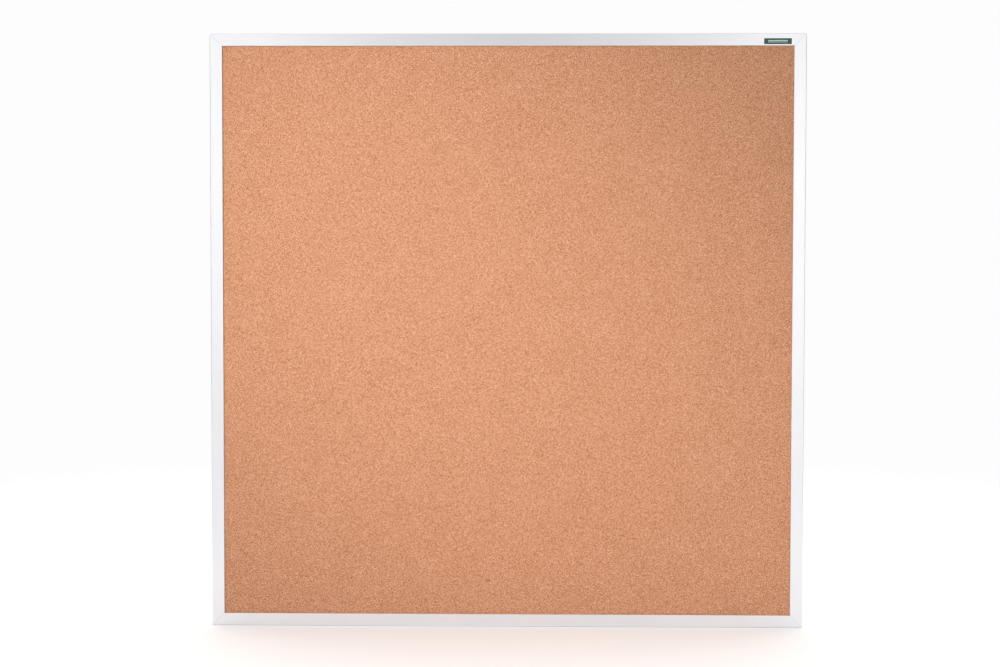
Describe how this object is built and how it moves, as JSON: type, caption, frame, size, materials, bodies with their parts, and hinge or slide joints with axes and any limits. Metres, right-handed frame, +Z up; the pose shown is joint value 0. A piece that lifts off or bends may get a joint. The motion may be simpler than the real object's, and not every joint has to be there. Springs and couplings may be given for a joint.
{
  "type": "cork bulletin board",
  "caption": "Square wall-mounted cork board in a slim mitred aluminium frame, with hidden hook-on wall clips, locking brackets and a small nameplate at the top right.",
  "frame": {"origin": "middle of the board on the wall plane, which is also the middle of the four wall screws", "axes": "+X to the right and +Z up as seen by someone facing the board; the cork faces -Y and the wall is on the +Y side of y = 0"},
  "size_m": [1.2192, 0.0238, 1.2192],
  "materials": {
    "anodised_aluminium": "satin clear anodised",
    "cork": "fine-grained natural cork, matt",
    "hardboard": "tempered hardboard, screen pattern on the back",
    "zinc_die_casting": "as cast",
    "zinc_plated_steel": "bright zinc plated",
    "plated_screw_steel": "zinc plated",
    "nameplate_enamel": "satin, with pale raised parts"
  },
  "bodies": {
    "root": {"frame_rail_top": "anodised_aluminium", "frame_rail_bottom": "anodised_aluminium", "frame_rail_left": "anodised_aluminium", "frame_rail_right": "anodised_aluminium", "corner_key_top_left": "zinc_die_casting", "corner_key_top_right": "zinc_die_casting", "corner_key_bottom_left": "zinc_die_casting", "corner_key_bottom_right": "zinc_die_casting", "corner_screws_top_left": "plated_screw_steel", "corner_screws_top_right": "plated_screw_steel", "corner_screws_bottom_left": "plated_screw_steel", "corner_screws_bottom_right": "plated_screw_steel", "cork_sheet": "cork", "hardboard_backing": "hardboard", "nameplate": "nameplate_enamel", "wall_clip_left": "zinc_plated_steel", "wall_clip_right": "zinc_plated_steel", "lower_bracket_left": "zinc_plated_steel", "lower_bracket_right": "zinc_plated_steel", "locking_screw_left": "plated_screw_steel", "locking_screw_right": "plated_screw_steel"}
  },
  "joints": []
}
